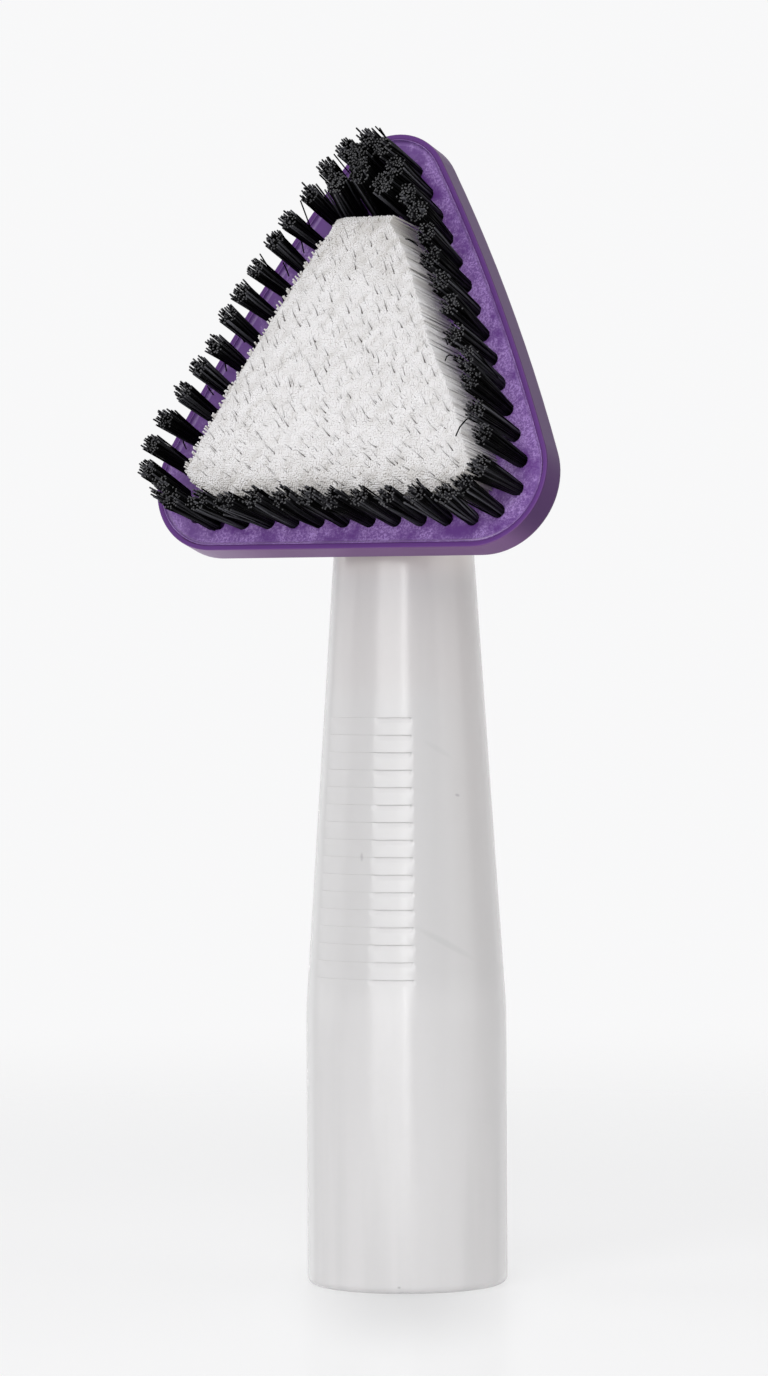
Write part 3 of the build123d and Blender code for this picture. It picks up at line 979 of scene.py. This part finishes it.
class BRUSH_OT_white_field(bpy.types.Operator):
    """Plant the dense white field, trimmed nearly flat"""

    bl_idname = "brush.white_field"
    bl_label = "White field"

    cut_glow = 1.04
    # How far the strands lean, and how much of the way out from its tuft's middle a root stands
    tip_lean, lean_over, lean_start = np.array((0.3, 3.4)) * MM, 56 * MM, 0.15
    root_share = 0.75
    low_border, high_border, corner_height = 4.4 * MM, 1.6 * MM, 5.3 * MM
    # How far the right border stands out from a straight line, by height, in mm
    right_bulge = (26, 30, 35, 39, 43, 48, 52, 56, 57.5), (0, -0.5, -0.7, -0.3, 0.2, 0.7, 0.9, 0.4, 0.3)
    grid_jitter = 0.16
    # Dark hairs of painted shade: their spacing, how far they stray and how far from the border they keep
    stain_pitch, stain_jitter, stain_margin = 2.55 * MM, 0.25, 0.6 * MM
    # The right flank, where the strands stand splayed
    flank_reach, flank_lean = 1.6 * MM, (1.7 * MM, 0)
    # What the left, right, low and high borders take from the face: the drop in mm, its reach in mm and
    # its power, and then the shade and its reach in mm
    losses = ((0.9, 2.2, 2, 0.4, 4), (0.2, 1.5, 1, 0, 1), (1.7, 3.4, 2, 0.75, 7), (0.9, 1.5, 1, 0.5, 14))
    scallop, scallop_length = 0.45, 4.85 * MM
    # The ragged strands of the left border: where, what share, how far out and which way
    ragged_reach, ragged_top, ragged_share = 0.55 * MM, 53 * MM, 0.4
    ragged_lengths = (0.1, 0.85)
    ragged_way = np.array((-0.45, 0.75, 0.6)) * MM
    # The shade of the face, and what a slope, the top edge and the flank take from it or give to it
    face_shade, flank_shade = 0.8, 0.12
    slope_step, slope_shade = (0.45 * MM, -0.45 * MM), 0.29
    top_edge, top_edge_shade = 1.5 * MM, 0.3
    # Soft waves over the trimmed face: their directions, lengths in mm and starts
    wave_turns = np.array((0.3, 1.1, 2.0, 2.7, 0.7, 1.6, 2.4, 0.1))
    wave_lengths = np.array((5.1, 4.3, 5.7, 3.9, 2.9, 2.5, 3.1, 2.2)) * MM
    wave_starts = np.array((0.4, 2.1, 5.0, 3.3, 1.2, 4.4, 0.9, 2.8))
    wave_height = 0.12 * MM
    # How far each wave wanders, how quickly, and what the waves' sum is divided by
    wander, wander_rate, wave_sum = 1.3, 0.6, 3.5
    # How the strands vary at the tip, in the bow and in shade
    tip_spread, bow_spread, shade_spread = 0.05 * MM, 0.03 * MM, 0.04
    # Dark hairs of painted shade: which way they bend low down and high up, and between which heights that
    # changes
    low_bend, high_bend = np.array((1.4, -0.75)), np.array((0.6, -1.3))
    bend_start, bend_over, bend_spread = 8 * MM, 20 * MM, 0.12
    hair_lengths, hair_bow = (0.5, 1.8), 0.08 * MM
    # How far above the face a hair begins and ends, and how thick and how dark it is, with its spread
    hair_foot, hair_tops = 0.1 * MM, (0.5, 0.75)
    hair_radius, hair_radius_spread = 0.074 * MM, 0.06 * MM
    hair_stain, hair_stain_spread = 1.5, 0.5

    def execute(self, context):
        sizes = context.scene.brush_bristles
        colours = sizes.white, toned(sizes.white, self.cut_glow), sizes.stain
        skin = filament("white_filament", *colours, gloss=0.3, roughness=0.5, low=0.6, high=1.05)
        unit = unit_strand(sides=5, cuts=1, chamfer=0.42)
        rng = np.random.default_rng(23)
        rows = sorted(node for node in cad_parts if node.startswith("white_row"))
        places = [tuft_places(node) for node in rows]
        row_of = np.repeat(np.arange(len(rows)), [len(line) for line in places])
        centres = np.concatenate(places)
        self.heights = np.array([line[0, 1] for line in places])
        self.widths = np.array([line[:, 0].max() for line in places]) + sizes.white_border
        ends = self.grid(sizes.white_spacing, self.grid_jitter, rng)
        stained = self.grid(self.stain_pitch, self.stain_jitter, rng)
        stained = stained[self.borders(stained).min(axis=1) > self.stain_margin]
        nearest, nearest_stained = (
            np.argmin(np.hypot(*(some[:, None] - centres[None]).transpose(2, 0, 1)), axis=1)
            for some in (ends, stained)
        )
        for index, node in enumerate(rows):
            mine, odd = row_of[nearest] == index, row_of[nearest_stained] == index
            plain = self.strands(ends[mine], centres[nearest[mine]], sizes, rng)
            parts = (np.concatenate(pair) for pair in zip(plain, self.hairs(stained[odd], sizes, rng)))
            piece = plant(node + "_strands", unit, *parts)
            finish_piece(piece, skin, "white_bristle", node)
        return {"FINISHED"}

    def reach(self):
        """The heights of the field's lower and upper borders."""
        return self.heights[0] - self.low_border, self.heights[-1] + self.high_border

    def sides(self, height):
        """The field's left and right borders at a height, with its lower corners rounded."""
        past = np.clip(1 - (height - self.heights[0] + self.low_border) / self.corner_height, 0, 1)
        half = np.interp(height, self.heights, self.widths) - self.corner_height * past ** 2
        return -half, half + np.interp(height / MM, *self.right_bulge) * MM

    def grid(self, spacing, jitter, rng):
        """A staggered grid over the field, as (u, v)."""
        points = []
        for index, height in enumerate(np.arange(*self.reach(), spacing * sqrt(3) / 2)):
            left, right = self.sides(height)
            line = np.arange(left, right, spacing) + spacing / 2 * (index % 2)
            points.append(np.column_stack((line, np.full(len(line), height))))
        points = np.concatenate(points)
        return points + rng.normal(0, jitter * spacing, points.shape)

    def borders(self, ends):
        """How far each end is from the left, the right, the lower and the upper border."""
        left, right = self.sides(ends[:, 1])
        low, high = self.reach()
        return np.column_stack((ends[:, 0] - left, right - ends[:, 0], ends[:, 1] - low, high - ends[:, 1]))

    def waves(self, ends):
        """The soft rise and fall of the trimmed face, from about -1 to 1."""
        ways = np.stack((np.cos(self.wave_turns), np.sin(self.wave_turns))) * 2 * pi / self.wave_lengths
        wander = self.wander * np.sin(ends @ ways[::-1] * self.wander_rate)
        return np.sin(ends @ ways + self.wave_starts + wander).sum(axis=1) / self.wave_sum

    def strands(self, ends, centres, sizes, rng):
        """The filaments of one row: roots, tips, bows, radii and shades."""
        count = len(ends)
        left, right, low, high = self.borders(ends).T
        rise = np.clip(ends[:, 1:] / self.lean_over - self.lean_start, 0, 1)
        roots = np.full((count, 3), -ROOT_DEPTH)
        tips = np.full((count, 3), sizes.white_height)
        flank = near(right, self.flank_reach)[:, None]
        splay = self.root_share + (1 - self.root_share) * flank
        roots[:, :2] = centres + (ends - centres) * splay - self.tip_lean * rise * (1 - flank)
        roots[:, :2] += flank * self.flank_lean
        tips[:, :2] = ends
        wave = self.waves(ends)
        tips[:, 2] += wave * self.wave_height + rng.normal(0, self.tip_spread, count)
        ragged = (left < self.ragged_reach) & (ends[:, 1] < self.ragged_top)
        ragged &= rng.random(count) < self.ragged_share
        tips[ragged] += rng.uniform(*self.ragged_lengths, (ragged.sum(), 1)) * self.ragged_way
        slope = self.waves(ends + self.slope_step) - wave
        shades = self.face_shade - slope * self.slope_shade + rng.normal(0, self.shade_spread, count)
        shades -= self.top_edge_shade * (high < self.top_edge) - self.flank_shade * flank[:, 0]
        scallops = 1 + self.scallop * np.cos(2 * pi * ends[:, 0] / self.scallop_length)
        for loss, away, waved in zip(self.losses, (left, right, low, high), (1, 1, scallops, 1)):
            drop, reach, power, shade, fade = loss
            tips[:, 2] -= drop * MM * waved * near(away, reach * MM) ** power
            shades -= shade * near(away, fade * MM)
        bows = rng.normal(0, self.bow_spread, (count, 3))
        radii = np.full(count, sizes.white_filament / 2)
        return from_head(roots), from_head(tips), bows, radii, np.clip(shades, 0, 1)

    def hairs(self, ends, sizes, rng):
        """The odd dark filaments, bent over just above the trimmed face, that paint small dark dashes of
        shade.
        """
        count = len(ends)
        rise = np.clip((ends[:, 1:] - self.bend_start) / self.bend_over, 0, 1)
        bend = self.low_bend * (1 - rise) + self.high_bend * rise
        bend += rng.normal(0, self.bend_spread, (count, 2))
        bend *= rng.uniform(*self.hair_lengths, (count, 1)) * MM
        tips = np.column_stack((ends, sizes.white_height + rng.uniform(*self.hair_tops, count) * MM))
        roots = np.column_stack((ends + bend, np.full(count, sizes.white_height + self.hair_foot)))
        bows = rng.normal(0, self.hair_bow, (count, 3))
        dark = rng.random(count)
        radii = self.hair_radius + self.hair_radius_spread * dark ** 2
        return from_head(roots), from_head(tips), bows, radii, self.hair_stain + self.hair_stain_spread * dark


class BRUSH_PT_panel(bpy.types.Panel):
    """The brush's pieces and sizes"""

    bl_label = "Crevice Brush"
    bl_space_type = "VIEW_3D"
    bl_region_type = "UI"
    bl_category = "Brush"

    def draw(self, context):
        for step in STEPS:
            self.layout.operator(step.bl_idname)
        for group in GROUPS:
            settings = getattr(context.scene, group)
            box = self.layout.box()
            for name in settings.__annotations__:
                box.prop(settings, name)


GROUPS = {
    "brush_handle": HandleSettings,
    "brush_head": HeadSettings,
    "brush_bristles": BristleSettings,
    "brush_stage": StageSettings,
}
STEPS = (
    BRUSH_OT_stage,
    BRUSH_OT_handle,
    BRUSH_OT_head,
    BRUSH_OT_screw,
    BRUSH_OT_black_tufts,
    BRUSH_OT_white_field,
)
CLASSES = (*GROUPS.values(), *STEPS, BRUSH_PT_panel)


def register():
    for cls in CLASSES:
        bpy.utils.register_class(cls)
    for name, group in GROUPS.items():
        setattr(bpy.types.Scene, name, PointerProperty(type=group))


def unregister():
    for name in GROUPS:
        delattr(bpy.types.Scene, name)
    for cls in reversed(CLASSES):
        bpy.utils.unregister_class(cls)


def main():
    register()
    bpy.ops.brush.stage()
    bpy.ops.brush.handle()
    bpy.ops.brush.head()
    bpy.ops.brush.screw()
    bpy.ops.brush.black_tufts()
    bpy.ops.brush.white_field()
    deselect()


if __name__ == "__main__":
    main()
